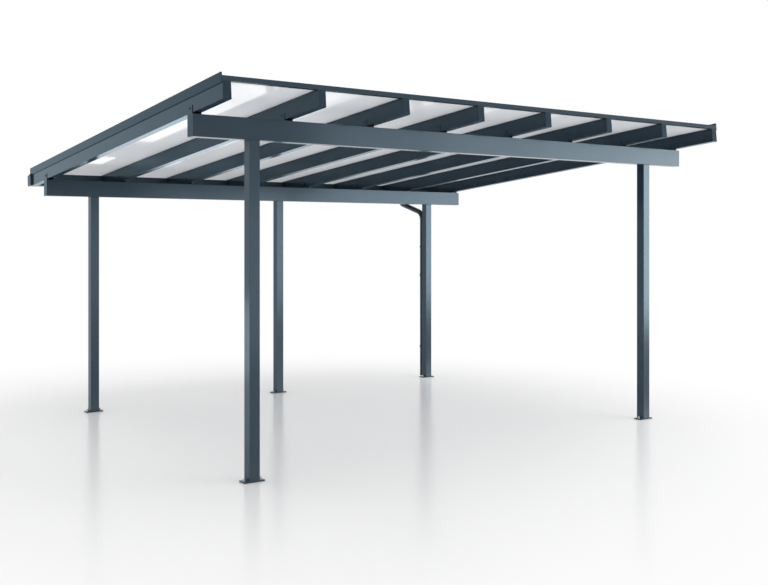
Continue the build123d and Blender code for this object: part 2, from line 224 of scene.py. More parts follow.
# %% [markdown]
# ## Weather
# Outdoors, rain splashes fine soil up the lowest hand's breadth of every post, and dust dulls
# the coat in soft clouds. The group gives a colour and a roughness that vary in this way: a
# cloud noise moves the tone a little, and a second mask rises towards the ground.
# %% Group: weathered coat
weathered, entry, leave = new_group(
    "weathered_coat",
    [("Place", "Vector", None), ("Coat", "Color", (0.04, 0.05, 0.06, 1)),
     ("Dust", "Color", (0.30, 0.29, 0.27, 1)), ("Cloud Tone", "Float", 0.10),
     ("Gloss", "Float", 0.17), ("Splash", "Float", 0.20)],
    [("Color", "Color"), ("Roughness", "Float")],
)
cloud = add_noise(weathered, entry["Place"], scale=2.2, detail=5.0, roughness=0.6)
cloud_tone = add_range(weathered, cloud, (0.3, 0.7), (0, entry["Cloud Tone"]))
height_above = add_node(weathered, "ShaderNodeSeparateXYZ", {"Vector": entry["Place"]})
splash_height = 0.22
near_ground = add_range(weathered, height_above.outputs["Z"], (0, splash_height),
                        (entry["Splash"], 0), interpolation_type="SMOOTHSTEP")
speck = add_noise(weathered, entry["Place"], scale=60.0, detail=6.0, roughness=0.7)
splashed = add_math(weathered, "MULTIPLY", near_ground, speck)
dusty = add_math(weathered, "ADD", cloud_tone, splashed, use_clamp=True)
mixed = mix_colours(weathered, dusty, entry["Coat"], entry["Dust"])
dulling = 0.6
dulled = add_math(weathered, "MULTIPLY_ADD", dusty, dulling, entry["Gloss"],
                  use_clamp=True)
weathered.links.new(mixed, leave["Color"])
weathered.links.new(dulled, leave["Roughness"])
print("shared effects:", [group.name for group in bpy.data.node_groups])

# %% [markdown]
# ## Powder-coated aluminium
# The profiles are anthracite with a blue cast and a fine metallic effect. The coat is smooth,
# so it mirrors the white room at a flat angle and looks nearly black seen straight on. The
# shader is mostly varnish over a dark colour. A share of metal, with a blue tint, keeps the
# mirror images blue as well. All profiles wear one coat, but the posts get a lighter copy of
# it, and the rafters, the trims and the small caps get darker ones, each with its own colour,
# varnish and share of metal: painted light and shade. The shared groups add faint clouds of
# dust, splashed feet and orange peel.
# %% Finish: powder coat
blue_mirror = (0.66, 0.87, 1.0, 1)
faint_clouds, soil_at_foot = 0.012, 0.08


def make_coat(name, coat, gloss, peel=0.06, varnish=1.38, metal=0.15):
    """Anthracite coat: its colour, roughness, orange peel, varnish and share of metal."""
    material, tree, shader, place = new_finish(name)
    weather = add_node(tree, "ShaderNodeGroup",
                       {"Place": place, "Coat": (*coat, 1), "Cloud Tone": faint_clouds,
                        "Gloss": gloss, "Splash": soil_at_foot}, node_tree=weathered)
    peeled = add_node(tree, "ShaderNodeGroup", {"Place": place}, node_tree=peel_group)
    set_inputs(tree, shader, {
        "Base Color": weather.outputs["Color"], "Roughness": weather.outputs["Roughness"],
        "Normal": add_bump(tree, peeled.outputs["Height"], peel), "Metallic": metal,
        "IOR": varnish, "Specular Tint": blue_mirror})
    return material


powder_coat = make_coat("powder_coat", (0.027, 0.044, 0.060), 0.17)
# Lit and shaded copies of one coat: the posts' copy is lighter, and those of the rafters,
# trims and caps are darker, in colour, varnish and share of metal. This is painted light and
# shade, not a different finish.
lit_post_coat = make_coat("lit_post_coat", (0.031, 0.050, 0.068), 0.17, varnish=1.42, metal=0.28)
shaded_rafter_coat = make_coat("shaded_rafter_coat", (0.027, 0.044, 0.061), 0.17, metal=0.50)
shaded_trim_coat = make_coat("shaded_trim_coat", (0.022, 0.036, 0.051), 0.20, varnish=1.20, metal=0.5)
shaded_cap_coat = make_coat("shaded_cap_coat", (0.023, 0.038, 0.054), 0.22, varnish=1.27, metal=0.45)
pipe_coat = make_coat("pipe_coat", (0.021, 0.034, 0.048), 0.22)
weld_coat = make_coat("weld_coat", (0.027, 0.042, 0.058), 0.28, peel=0.15)
screw_coat = make_coat("screw_coat", (0.010, 0.014, 0.019), 0.45, varnish=1.35)
print("coats:", [material.name for material in bpy.data.materials])

# %% [markdown]
# ## Opal sheets
# The roof is glazed with milky sheets of two skins joined by thin upright ribs. The ribs run
# down the slope, and daylight shows them as faint lines. The pattern is one number, the place
# across the roof counted in ribs: near each whole number lies a rib. Milk scatters light both
# back and through, so a glossy white shader is mixed with a translucent one, nearly half and
# half. With less that is translucent, the underside of the roof would be too dark.
# %% Finish: opal sheet
rib_spacing = 0.020


def make_opal(name, milk, dusty_milk, rib_milk, passing):
    """Milky sheet with fine ribs down the slope; passing is the share of translucent milk."""
    material, tree, shader, place = new_finish(name)
    across = add_node(tree, "ShaderNodeSeparateXYZ", {"Vector": place}).outputs["X"]
    counted = add_math(tree, "MULTIPLY", across, 1 / rib_spacing)
    centred = add_math(tree, "SUBTRACT", add_math(tree, "FRACT", counted), 0.5)
    rib_mask = add_range(tree, add_math(tree, "ABSOLUTE", centred), (0.40, 0.5))
    veil = add_noise(tree, place, scale=1.6, detail=5.0, roughness=0.62)
    veil_mask = add_range(tree, veil, (0.45, 0.75), (0, 0.25))
    veiled = mix_colours(tree, veil_mask, (*milk, 1), (*dusty_milk, 1))
    ribbed = mix_colours(tree, rib_mask, veiled, (*rib_milk, 1))
    dull = add_range(tree, veil, target=(0.02, 0.07))
    bump = add_bump(tree, rib_mask, strength=0.05)
    set_inputs(tree, shader, {"Base Color": ribbed, "Roughness": dull, "Normal": bump,
                              "IOR": 1.6})
    glow = add_node(tree, "ShaderNodeBsdfTranslucent", {"Color": ribbed})
    blend_surface(tree, passing, shader, glow.outputs["BSDF"])
    return material


opal = make_opal("opal_sheet", (0.93, 0.94, 0.955), (0.85, 0.85, 0.85), (0.82, 0.84, 0.86),
                 passing=0.46)
print("ribs every", round(rib_spacing * 1000), "mm")

# %% [markdown]
# ## Rubber and bright metal
# Seals are black rubber with a fine grain and a grey bloom. Screws are stainless steel, whose
# tone changes in fine specks. Ground anchors are zinc-plated: their crystals show as pale and
# dark flakes, which a Voronoi pattern gives. The profiles on the sheets' ends are aluminium as
# it leaves the mill, a duller grey with soft, wide clouds.
# %% Finishes: rubber, stainless steel, zinc and mill aluminium
def make_rubber(name):
    """Black rubber with a grey bloom and a fine grain."""
    material, tree, shader, place = new_finish(name)
    bloom = add_noise(tree, place, scale=14.0, detail=6.0)
    colour = mix_colours(tree, bloom, (0.012, 0.012, 0.013, 1), (0.035, 0.036, 0.038, 1))
    grain = add_noise(tree, place, scale=900.0)
    bump = add_bump(tree, grain, strength=0.15, distance=0.0005)
    set_inputs(tree, shader, {"Base Color": colour, "Normal": bump, "Roughness": 0.62})
    return material


def make_metal(name, dark, pale, roughness, scale, pattern="ShaderNodeTexNoise"):
    """Bare metal whose tone and gloss change with a fine pattern."""
    material, tree, shader, place = new_finish(name)
    flakes = add_node(tree, pattern, {"Vector": place, "Scale": scale})
    tone = flakes.outputs["Fac"] if "Noise" in pattern else flakes.outputs["Distance"]
    colour = mix_colours(tree, tone, (*dark, 1), (*pale, 1))
    gloss = add_range(tree, tone, target=(roughness, roughness + 0.2))
    set_inputs(tree, shader, {"Base Color": colour, "Roughness": gloss, "Metallic": 1.0})
    return material


rubber = make_rubber("seal_rubber")
stainless = make_metal("stainless", (0.42, 0.43, 0.44), (0.66, 0.67, 0.68), 0.22, 700.0)
zinc = make_metal("zinc_plate", (0.36, 0.37, 0.38), (0.62, 0.63, 0.64), 0.34, 260.0,
                  "ShaderNodeTexVoronoi")
mill_aluminium = make_metal("mill_aluminium", (0.40, 0.41, 0.42), (0.48, 0.49, 0.50), 0.40,
                            40.0)
print("finishes:", len(bpy.data.materials))

# %% [markdown]
# ## Dressing the solid model
# The solid model's pieces already have the right shapes, so most of them only need a finish.
# Their names say what they are, so a short table from the start of a name to a finish is
# enough. The first row that fits counts.
# %% Finishes for the model's own pieces
finish_table = [
    ("roof_sheet_", opal), ("sheet_seals", rubber), ("downpipe", pipe_coat),
    ("gutter_outlet", pipe_coat), ("rafter_end_caps", shaded_cap_coat),
    ("front_beam_end_caps", shaded_cap_coat), ("back_beam_end_caps", shaded_cap_coat),
    ("gutter_end_caps", shaded_cap_coat), ("rafter_", shaded_rafter_coat),
    ("front_rafter_saddles", shaded_rafter_coat), ("back_rafter_saddles", shaded_rafter_coat),
    ("post_", lit_post_coat), ("side_trim", shaded_trim_coat), ("", powder_coat),
]
for name, piece in nodes.items():
    finish = next(material for start, material in finish_table if name.startswith(start))
    piece.data.materials.clear()
    piece.data.materials.append(finish)
print("dressed", len(nodes), "nodes")

# %% [markdown]
# ## Screws, nuts and washers
# All fasteners are stacks of turned discs: a washer, a head with six sides or a round one, and
# a crown where the head's edge is taken off. Geometry Nodes build one such stack and set it on
# every given point, spun at random, as a hand or a drill leaves it. One tree with named sizes
# makes them all. Every tree starts with its inputs and ends in plain mesh with a finish, so
# two helpers do that first.
# %% Helpers: the start and the end of a geometry tree
def new_geometry_tree(name, source, lengths, counts):
    """A geometry tree whose named inputs are its points or lines, sizes, counts and finish."""
    tree = bpy.data.node_groups.new(name, "GeometryNodeTree")
    interface = tree.interface
    interface.new_socket(source, in_out="INPUT", socket_type="NodeSocketGeometry")
    for kind, values in (("NodeSocketFloat", lengths), ("NodeSocketInt", counts)):
        for label, value in values.items():
            socket = interface.new_socket(label, in_out="INPUT", socket_type=kind)
            socket.default_value = value
    interface.new_socket("Finish", in_out="INPUT", socket_type="NodeSocketMaterial")
    interface.new_socket("Geometry", in_out="OUTPUT", socket_type="NodeSocketGeometry")
    sizes = tree.nodes.new("NodeGroupInput").outputs
    leave = tree.nodes.new("NodeGroupOutput").inputs
    return tree, sizes, leave


def end_geometry_tree(tree, copies, finish, leave):
    """Makes plain mesh of the placed copies, gives it its finish and sends it out."""
    solid = add_node(tree, "GeometryNodeRealizeInstances", {"Geometry": copies})
    done = add_node(tree, "GeometryNodeSetMaterial",
                    {"Geometry": solid.outputs["Geometry"], "Material": finish})
    tree.links.new(done.outputs["Geometry"], leave["Geometry"])


# %% Geometry tree: fasteners on points
fastener_tree, sizes, leave = new_geometry_tree(
    "fasteners", "Points",
    {"Washer Radius": 0.008, "Washer Height": 0.002, "Head Radius": 0.005,
     "Head Height": 0.005, "Crown Height": 0.001, "Crown Share": 0.8},
    {"Washer Sides": 24, "Head Sides": 6, "Seed": 7})


def lifted_disc(kind, height, inputs):
    """A disc or cone of the stack, with its middle at a height."""
    disc = add_node(fastener_tree, kind, inputs).outputs["Mesh"]
    shift = add_node(fastener_tree, "ShaderNodeCombineXYZ", {"Z": height}).outputs["Vector"]
    return add_node(fastener_tree, "GeometryNodeTransform",
                    {"Geometry": disc, "Translation": shift}).outputs["Geometry"]


half_washer = add_math(fastener_tree, "MULTIPLY", sizes["Washer Height"], 0.5)
half_head = add_math(fastener_tree, "MULTIPLY", sizes["Head Height"], 0.5)
head_middle = add_math(fastener_tree, "ADD", sizes["Washer Height"], half_head)
head_top = add_math(fastener_tree, "ADD", sizes["Washer Height"], sizes["Head Height"])
crown_radius = add_math(fastener_tree, "MULTIPLY", sizes["Head Radius"], sizes["Crown Share"])
stack = fastener_tree.nodes.new("GeometryNodeJoinGeometry")
for disc in (
    lifted_disc("GeometryNodeMeshCylinder", half_washer,
                {"Vertices": sizes["Washer Sides"], "Radius": sizes["Washer Radius"],
                 "Depth": sizes["Washer Height"]}),
    lifted_disc("GeometryNodeMeshCylinder", head_middle,
                {"Vertices": sizes["Head Sides"], "Radius": sizes["Head Radius"],
                 "Depth": sizes["Head Height"]}),
    lifted_disc("GeometryNodeMeshCone", head_top,
                {"Vertices": sizes["Head Sides"], "Radius Bottom": sizes["Head Radius"],
                 "Radius Top": crown_radius, "Depth": sizes["Crown Height"]}),
):
    fastener_tree.links.new(disc, stack.inputs["Geometry"])

# %% [markdown]
# ## Standing every fastener on its point
# Each point carries the direction in which its fastener stands, as an attribute. The stack is
# turned from upright to that direction, and then spun about it by a random angle.
# %% Geometry tree: fasteners turned and spun
axis = add_node(fastener_tree, "GeometryNodeInputNamedAttribute", {"Name": "axis"},
                data_type="FLOAT_VECTOR").outputs["Attribute"]
stand = add_node(fastener_tree, "FunctionNodeAlignRotationToVector", {"Vector": axis},
                 axis="Z").outputs["Rotation"]
full_turn = 6.28
spin = add_node(fastener_tree, "FunctionNodeRandomValue", {"Seed": sizes["Seed"]},
                data_type="FLOAT").outputs[1]
spin_turn = add_node(fastener_tree, "ShaderNodeCombineXYZ",
                     {"Z": add_math(fastener_tree, "MULTIPLY", spin, full_turn)})
turned = add_node(fastener_tree, "FunctionNodeRotateRotation",
                  {"Rotation": stand, "Rotate By": spin_turn.outputs["Vector"]},
                  rotation_space="LOCAL").outputs["Rotation"]
placed = add_node(fastener_tree, "GeometryNodeInstanceOnPoints",
                  {"Points": sizes["Points"], "Instance": stack.outputs["Geometry"],
                   "Rotation": turned}).outputs["Instances"]
end_geometry_tree(fastener_tree, placed, sizes["Finish"], leave)
print("tree:", fastener_tree.name, "with", len(fastener_tree.nodes), "nodes")

# %% [markdown]
# ## Turning a tree's result into a plain piece
# The tree runs on a helper mesh that holds only points or lines. Its evaluated result is
# copied into a plain mesh, and the helper goes. The plain piece rides on the carport's only
# body.
# %% Helper: pieces
def finish_piece(name, mesh, finish, smooth=True):
    """Puts a finished mesh into the scene as a piece of the carport."""
    mesh.materials.clear()
    mesh.materials.append(finish)
    mesh.name = name
    if smooth:
        mesh.shade_smooth()
        mesh.set_sharp_from_angle(angle=math.radians(32))
    else:
        mesh.shade_flat()
    piece = new_object(name, mesh)
    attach(piece, "root")
    print(name, "-", len(mesh.polygons), "faces")


# %% Helpers: meshes grown by a tree
def grow(name, tree, points, edges=(), axes=None, **values):
    """Runs a geometry tree on points or lines and returns the plain mesh that it makes."""
    seeds = bpy.data.meshes.new(name + "_seeds")
    seeds.from_pydata([tuple(point) for point in points], list(edges), [])
    if axes is not None:
        attribute = seeds.attributes.new("axis", "FLOAT_VECTOR", "POINT")
        attribute.data.foreach_set("vector", [value for axis in axes for value in axis])
    helper = new_object(name + "_seeds", seeds)
    modifier = helper.modifiers.new("grow", "NODES")
    modifier.node_group = tree
    sockets = {item.name: item.identifier for item in tree.interface.items_tree
               if item.item_type == "SOCKET" and item.in_out == "INPUT"}
    for label, value in values.items():
        modifier[sockets[label.replace("_", " ").title()]] = value
    graph = bpy.context.evaluated_depsgraph_get()
    mesh = bpy.data.meshes.new_from_object(helper.evaluated_get(graph))
    bpy.data.objects.remove(helper)
    bpy.data.meshes.remove(seeds)
    return mesh


def add_fasteners(name, places, finish, slot, **sizes):
    """Fasteners on (point, axis) places."""
    mesh = grow(name, fastener_tree, [point for point, _ in places],
                axes=[axis for _, axis in places], finish=finish, **sizes)
    finish_piece(name, mesh, finish)


# %% [markdown]
# ## Roof screws
# Every cover bar is screwed down into its rafter's channel about every third of a metre. A
# black sealing washer lies under each steel one. The screws stand square to the roof, so their
# axis is the roof's own upright.
# %% Cover bar screws
bar_top = 0.149
first_screw, screw_spacing, screws_a_bar = 0.12, 0.36, 12
screw_rows = [first_screw + screw_spacing * step for step in range(screws_a_bar)]
bar_screws = [(on_roof(x, along, bar_top), off_roof)
              for x in rafter_places for along in screw_rows]
seal_height = 0.0016
add_fasteners("bar_screw_seals", bar_screws, rubber, "seal_rubber",
              washer_radius=0.0082, washer_height=seal_height, head_radius=0.003,
              head_height=0.0004, crown_height=0.0002)
on_seals = [(point + off_roof * seal_height, axis) for point, axis in bar_screws]
add_fasteners("bar_screws", on_seals, stainless, "powder_coat",
              washer_radius=0.0075, washer_height=0.0012, head_radius=0.0046,
              head_height=0.0042, crown_height=0.0008)

# %% [markdown]
# ## Saddle screws
# Each rafter is held in its saddle by one round-headed screw through either cheek. The picture
# shows them as small dark dots some four centimetres above the beam.
# %% Saddle screws
cheek_face, past_middle, above_beam = 0.034, 0.004, 0.040


def saddle_places(node):
    """One place on the outer face of each cheek of a beam's saddles, with its outward axis."""
    low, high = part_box(node)
    y, z = (low.y + high.y) / 2 + past_middle, low.z + above_beam
    return [(Vector((x + side * cheek_face, y, z)), Vector((side, 0, 0)))
            for x in rafter_places for side in (-1, 1)]


add_fasteners("saddle_screws",
              saddle_places("front_rafter_saddles") + saddle_places("back_rafter_saddles"),
              screw_coat, "powder_coat", washer_radius=0.0085, washer_height=0.0012,
              head_radius=0.0062, head_height=0.0022, crown_height=0.0016,
              crown_share=0.55, head_sides=20)

# %% [markdown]
# ## Screws of the end caps
# The thin plates on the ends of beams and rafters are held by small countersunk screws, which
# stand out by less than a millimetre.
# %% End cap screws
cap_inset, cap_thickness, rafter_cap_heights = 0.014, 0.002, (0.014, 0.103)


def cap_places(node):
    """Four places near the corners of each end plate of a beam."""
    low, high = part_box(node)
    return [(Vector((x, y, z)), Vector((side, 0, 0)))
            for x, side in ((low.x, -1), (high.x, 1))
            for y in (low.y + cap_inset, high.y - cap_inset)
            for z in (low.z + cap_inset, high.z - cap_inset)]


rafter_cap_places = [(on_roof(x, -cap_thickness, height), -down_roof)
                     for x in rafter_places for height in rafter_cap_heights]
add_fasteners("cap_screws",
              cap_places("front_beam_end_caps") + cap_places("back_beam_end_caps")
              + rafter_cap_places,
              weld_coat, "end_caps", washer_radius=0.0042, washer_height=0.0004,
              head_radius=0.0036, head_height=0.0002, crown_height=0.0003,
              crown_share=0.4, head_sides=18)

# %% [markdown]
# ## Ground anchors
# A zinc-plated anchor stands in each hole of the foot plates: a wide washer, a hexagon nut and
# the rounded end of its stud. Nuts and studs are two runs of the same tree.
# %% Anchors
post_names = ["front_left", "front_right", "back_left", "back_middle", "back_right"]
upright = Vector((0, 0, 1))
anchor_spacing, washer_height, nut_height, nut_crown = 0.120, 0.0025, 0.009, 0.0012
anchor_places = []
for post in post_names:
    low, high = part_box("foot_plate_" + post)
    middle = (low + high) / 2
    for side in (-1, 1):
        hole = Vector((middle.x + side * anchor_spacing / 2, middle.y, high.z))
        anchor_places.append((hole, upright))
add_fasteners("anchor_nuts", anchor_places, zinc, "powder_coat",
              washer_radius=0.012, washer_height=washer_height, head_radius=0.0108,
              head_height=nut_height, crown_height=nut_crown, crown_share=0.86)
nut_top = upright * (washer_height + nut_height + nut_crown)
stud_places = [(point + nut_top, axis) for point, axis in anchor_places]
add_fasteners("anchor_studs", stud_places, zinc, "powder_coat",
              washer_radius=0.006, washer_height=0.006, head_radius=0.006,
              head_height=0.001, crown_height=0.0015, crown_share=0.7,
              washer_sides=20, head_sides=20)

# %% [markdown]
# ## Weld seams
# The posts are welded to their plates all round. A hand weld is a row of overlapping ripples,
# so a line round the post is cut into equal steps, and a flattened bead is set on every step.
# The same tree draws the thin seam between a post's head and the beam.
# %% Geometry tree: weld beads along lines
weld_tree, sizes, leave = new_geometry_tree(
    "weld_beads", "Lines",
    {"Step": 0.0034, "Bead Radius": 0.0032, "Unevenness": 0.12}, {"Seed": 3})
line = add_node(weld_tree, "GeometryNodeMeshToCurve", {"Mesh": sizes["Lines"]})
steps = add_node(weld_tree, "GeometryNodeCurveToPoints",
                 {"Curve": line.outputs["Curve"], "Length": sizes["Step"]}, mode="LENGTH")
bead = add_node(weld_tree, "GeometryNodeMeshUVSphere",
                {"Segments": 8, "Rings": 5, "Radius": sizes["Bead Radius"]})
# The sockets 2 and 3 of a random number are its least and its greatest value
uneven = add_node(weld_tree, "FunctionNodeRandomValue",
                  {2: add_math(weld_tree, "SUBTRACT", 1.0, sizes["Unevenness"]),
                   3: add_math(weld_tree, "ADD", 1.0, sizes["Unevenness"]),
                   "Seed": sizes["Seed"]}, data_type="FLOAT")
placed = add_node(weld_tree, "GeometryNodeInstanceOnPoints",
                  {"Points": steps.outputs["Points"], "Instance": bead.outputs["Mesh"],
                   "Rotation": steps.outputs["Rotation"], "Scale": uneven.outputs[1]})
end_geometry_tree(weld_tree, placed.outputs["Instances"], sizes["Finish"], leave)
print("tree:", weld_tree.name, "with", len(weld_tree.nodes), "nodes")

# %% [markdown]
# ## Where the seams run
# Each seam is a square line round a post, sunk a little into both parts that it joins. The
# seams at the feet are the thick ones. Those at the heads are finer, with smaller steps.
# %% Weld seams at the feet and heads of the posts
seam_inset, above_plate, under_beam = 0.0008, 0.0008, 0.0006


def square_line(points, edges, low, high, z):
    """Adds a closed square line round a post at one height."""
    first = len(points)
    x0, x1 = low.x + seam_inset, high.x - seam_inset
    y0, y1 = low.y + seam_inset, high.y - seam_inset
    points += [(x0, y0, z), (x1, y0, z), (x1, y1, z), (x0, y1, z)]
    edges += [(first + step, first + (step + 1) % 4) for step in range(4)]


for name, end, lift, seam in (
    ("foot_welds", 0, above_plate, {}),
    ("head_welds", 1, -under_beam, {"bead_radius": 0.0022, "step": 0.0028}),
):
    points, edges = [], []
    for post in post_names:
        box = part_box("post_" + post)
        square_line(points, edges, *box, box[end].z + lift)
    mesh = grow(name, weld_tree, points, edges, finish=weld_coat, **seam)
    finish_piece(name, mesh, weld_coat)

# %% [markdown]
# ## Strips that follow the rafters
# Gaskets and thin plates keep one small section along the roof. A helper takes the section's
# corners as (across, height) pairs, runs them down the slope and closes both ends.
# %% Helper: strips along the roof
def add_strip(form, x, section, start, end):
    """Runs a small section from start to end down the slope, into a bmesh."""
    near = [form.verts.new(on_roof(x + across, start, height)) for across, height in section]
    far = [form.verts.new(on_roof(x + across, end, height)) for across, height in section]
    count = len(section)
    for corner in range(count):
        following = (corner + 1) % count
        form.faces.new((near[corner], near[following], far[following], far[corner]))
    form.faces.new(near[::-1])
    form.faces.new(far)


def mesh_of(name, form):
    """Turns a bmesh into a mesh whose faces point outwards."""
    bmesh.ops.recalc_face_normals(form, faces=form.faces)
    mesh = bpy.data.meshes.new(name)
    form.to_mesh(mesh)
    form.free()
    return mesh


# %% [markdown]
# ## Gaskets
# Under each edge of a cover bar a rubber lip presses on the sheet and stands out a little, and
# a second lip peeps out between the rafter and the sheet's underside. Their sections have
# chamfered outer edges. The two outermost edges have side trims and no sheet, so no lips.
# %% Cover bar and rafter gaskets
sheet_low, sheet_high = 0.120, 0.136
gasket_start, upper_gasket_end, lower_gasket_end = 0.033, 4.224, 4.199
upper_lip = [(0.0285, 0), (0.0335, 0), (0.0325, 0.0012), (0.0300, 0.0030), (0.0285, 0.0030)]
lower_lip = [(0.0240, 0), (0.0240, -0.0028), (0.0305, -0.0028), (0.0325, -0.0008), (0.0325, 0)]
gasket_form = bmesh.new()
for x in rafter_places:
    for side in (-1, 1):
        if x * side == max(rafter_places):
            continue
        for lip, level, end in ((upper_lip, sheet_high, upper_gasket_end),
                                (lower_lip, sheet_low, lower_gasket_end)):
            section = [(side * across, level + height) for across, height in lip]
            add_strip(gasket_form, x, section, gasket_start, end)
finish_piece("roof_gaskets", mesh_of("roof_gaskets", gasket_form), rubber)

# %% [markdown]
# ## Closed front ends of the side trims
# Each side trim stands a finger's breadth off its rafter. In the picture nothing shows between
# the two at the front, so a small folded plate closes that gap, level with the front channel.
# The hollow foot on which the trim stands is closed at the back in the same way.
# %% Side trim end plates
def add_block(form, x_range, along_range, height_range):
    """A block between two places across, down and off the roof, into a bmesh."""
    section = [(x_range[0], height_range[0]), (x_range[1], height_range[0]),
               (x_range[1], height_range[1]), (x_range[0], height_range[1])]
    add_strip(form, 0, section, *along_range)


front_gap, foot_gap = (2.4805, 2.4863), (2.4625, 2.4865)
front_plate, back_plate = (-0.0016, 0.0004), (4.2296, 4.2310)
end_plates = [(front_gap, front_plate, (0.107, 0.1168)),
              (front_gap, front_plate, (0.1502, 0.169)),
              (foot_gap, back_plate, (0.1175, 0.1355))]
end_form = bmesh.new()
for side in (-1, 1):
    for gap, along_range, height_range in end_plates:
        add_block(end_form, sorted(side * edge for edge in gap), along_range, height_range)
finish_piece("trim_end_plates", mesh_of("trim_end_plates", end_form), powder_coat,
             smooth=False)

# %% [markdown]
# ## Closed back ends of the sheets
# A double-skinned sheet is open at its lower end, so a U-shaped aluminium profile keeps dirt
# and insects out of it. Three thin blocks make the U: one past the sheet's end, one over it
# and one under it.
# %% Sheet end profiles
side_play = 0.0004
flange_start, web_start, web_end = 4.2120, 4.2252, 4.2262
bottom, top, flange = 0.1190, 0.1370, 0.0009
end_profile = [((web_start, web_end), (bottom, top)),
               ((flange_start, web_start), (top - flange, top)),
               ((flange_start, web_start), (bottom, bottom + flange))]
profile_form = bmesh.new()
for name in nodes:
    if name.startswith("roof_sheet_"):
        low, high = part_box(name)
        for along_range, height_range in end_profile:
            add_block(profile_form, (low.x + side_play, high.x - side_play), along_range,
                      height_range)
finish_piece("sheet_end_profiles", mesh_of("sheet_end_profiles", profile_form), mill_aluminium,
             smooth=False)

# %% [markdown]
# ## Cover bar ends
# A cover bar is hollow, so a pressed-in plate closes each of its ends. The plate has the bar's
# own outline, with its sloping shoulders, a hair smaller.
# %% Cover bar end plates
half_foot, half_top = 0.0298, 0.0239
plate_foot, shoulder, plate_top = 0.1362, 0.1429, 0.1488
bar_outline = [(-half_foot, plate_foot), (half_foot, plate_foot), (half_foot, shoulder),
               (half_top, plate_top), (-half_top, plate_top), (-half_foot, shoulder)]
plate_form = bmesh.new()
for x in rafter_places:
    for start, end in ((0.0306, 0.0321), (4.2249, 4.2264)):
        add_strip(plate_form, x, bar_outline, start, end)
finish_piece("cover_bar_end_plates", mesh_of("cover_bar_end_plates", plate_form), shaded_cap_coat,
             smooth=False)

# %% [markdown]
# ## Gutter fastenings
# The gutter's back wall is riveted to the closed back ends of the rafters, two blind rivets to
# each, whose flat round heads can be seen inside the trough. The screws' tree makes them too,
# with a wide low washer for the rivet's rim.
# %% Gutter rivets
wall = 0.0025
gutter_start = rafter_length + wall
rivet_offset, rivet_heights = 0.018, (0.035, 0.085)
rivet_places = [(on_roof(x + side * rivet_offset, gutter_start, height), down_roof)
                for x in rafter_places for side in (-1, 1) for height in rivet_heights]
add_fasteners("gutter_rivets", rivet_places, stainless, "powder_coat",
              washer_radius=0.0048, washer_height=0.0008, head_radius=0.0040,
              head_height=0.0004, crown_height=0.0007, crown_share=0.5, head_sides=16,
              washer_sides=16)

# %% [markdown]
# ## Sealant beads
# Both end caps are sealed to the trough with a round bead of sealant, pressed into the corner.
# A helper sets small rings of points along a path and joins them by faces. It also draws the
# wires of the leaf basket and the raised rings on the rainwater pipe.
# %% Helper: round beads along a path
def add_bead(form, path, radius, sides=8, closed=False):
    """A round bead along a path of points, into a bmesh."""
    rings = []
    count = len(path)
    for index, point in enumerate(path):
        before = path[index - 1] if index or closed else point
        after = path[(index + 1) % count] if index + 1 < count or closed else point
        direction = (after - before).normalized()
        sideways = direction.orthogonal().normalized()
        # Rings start from the X axis, and so are not twisted, where the path doesn't follow it
        if abs(direction.x) < 0.9:
            sideways = (Vector((1, 0, 0)) - direction * direction.x).normalized()
        upwards = direction.cross(sideways)
        rings.append([form.verts.new(point + (sideways * math.cos(angle)
                                              + upwards * math.sin(angle)) * radius)
                      for angle in (2 * math.pi * step / sides for step in range(sides))])
    for index in range(count if closed else count - 1):
        near, far = rings[index], rings[(index + 1) % count]
        for step in range(sides):
            following = (step + 1) % sides
            form.faces.new((near[step], near[following], far[following], far[step]))
    if not closed:
        form.faces.new(rings[0][::-1])
        form.faces.new(rings[-1])


# %% [markdown]
# ## Sealing the gutter's ends
# The bead follows the inside of the trough from the rafters' side down, along the floor, round
# the bend and up the far wall. The corners are written down as places along and above the
# roof, and two points on a small arc round off the bend.
# %% Sealant in the gutter's ends
gutter_low, gutter_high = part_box("gutter_end_caps")
far_face, bend = 4.295, 0.016
inner_bend, bend_start, gutter_end = bend - wall, far_face - bend, far_face - wall
trough = [(gutter_start, 0.108), (gutter_start, 0.060), (gutter_start, wall), (4.240, wall),
          (bend_start, wall)]
trough += [(bend_start + inner_bend * math.sin(angle), bend - inner_bend * math.cos(angle))
           for angle in (math.radians(30), math.radians(60))]
trough += [(gutter_end, bend), (gutter_end, 0.055), (gutter_end, 0.088)]
bead_radius = 0.0022
seal_form = bmesh.new()
for x in (gutter_low.x + wall, gutter_high.x - wall):
    add_bead(seal_form, [on_roof(x, along, height) for along, height in trough], bead_radius)
finish_piece("gutter_sealant", mesh_of("gutter_sealant", seal_form), rubber)

# %% [markdown]
# ## Leaf basket
# A wire basket in the outlet keeps leaves out of the pipe. It stands on a ring on the trough's
# floor; bent wires rise from the ring and meet in a small button. Each wire is a quarter of an
# arch, drawn as a few points, and the wires stand evenly about the outlet's middle.
# %% Leaf basket
circle_points = 40


def circle_path(middle, radius):
    """A level circle of points."""
    turns = (2 * math.pi * step / circle_points for step in range(circle_points))
    return [middle + Vector((radius * math.cos(turn), radius * math.sin(turn), 0))
            for turn in turns]


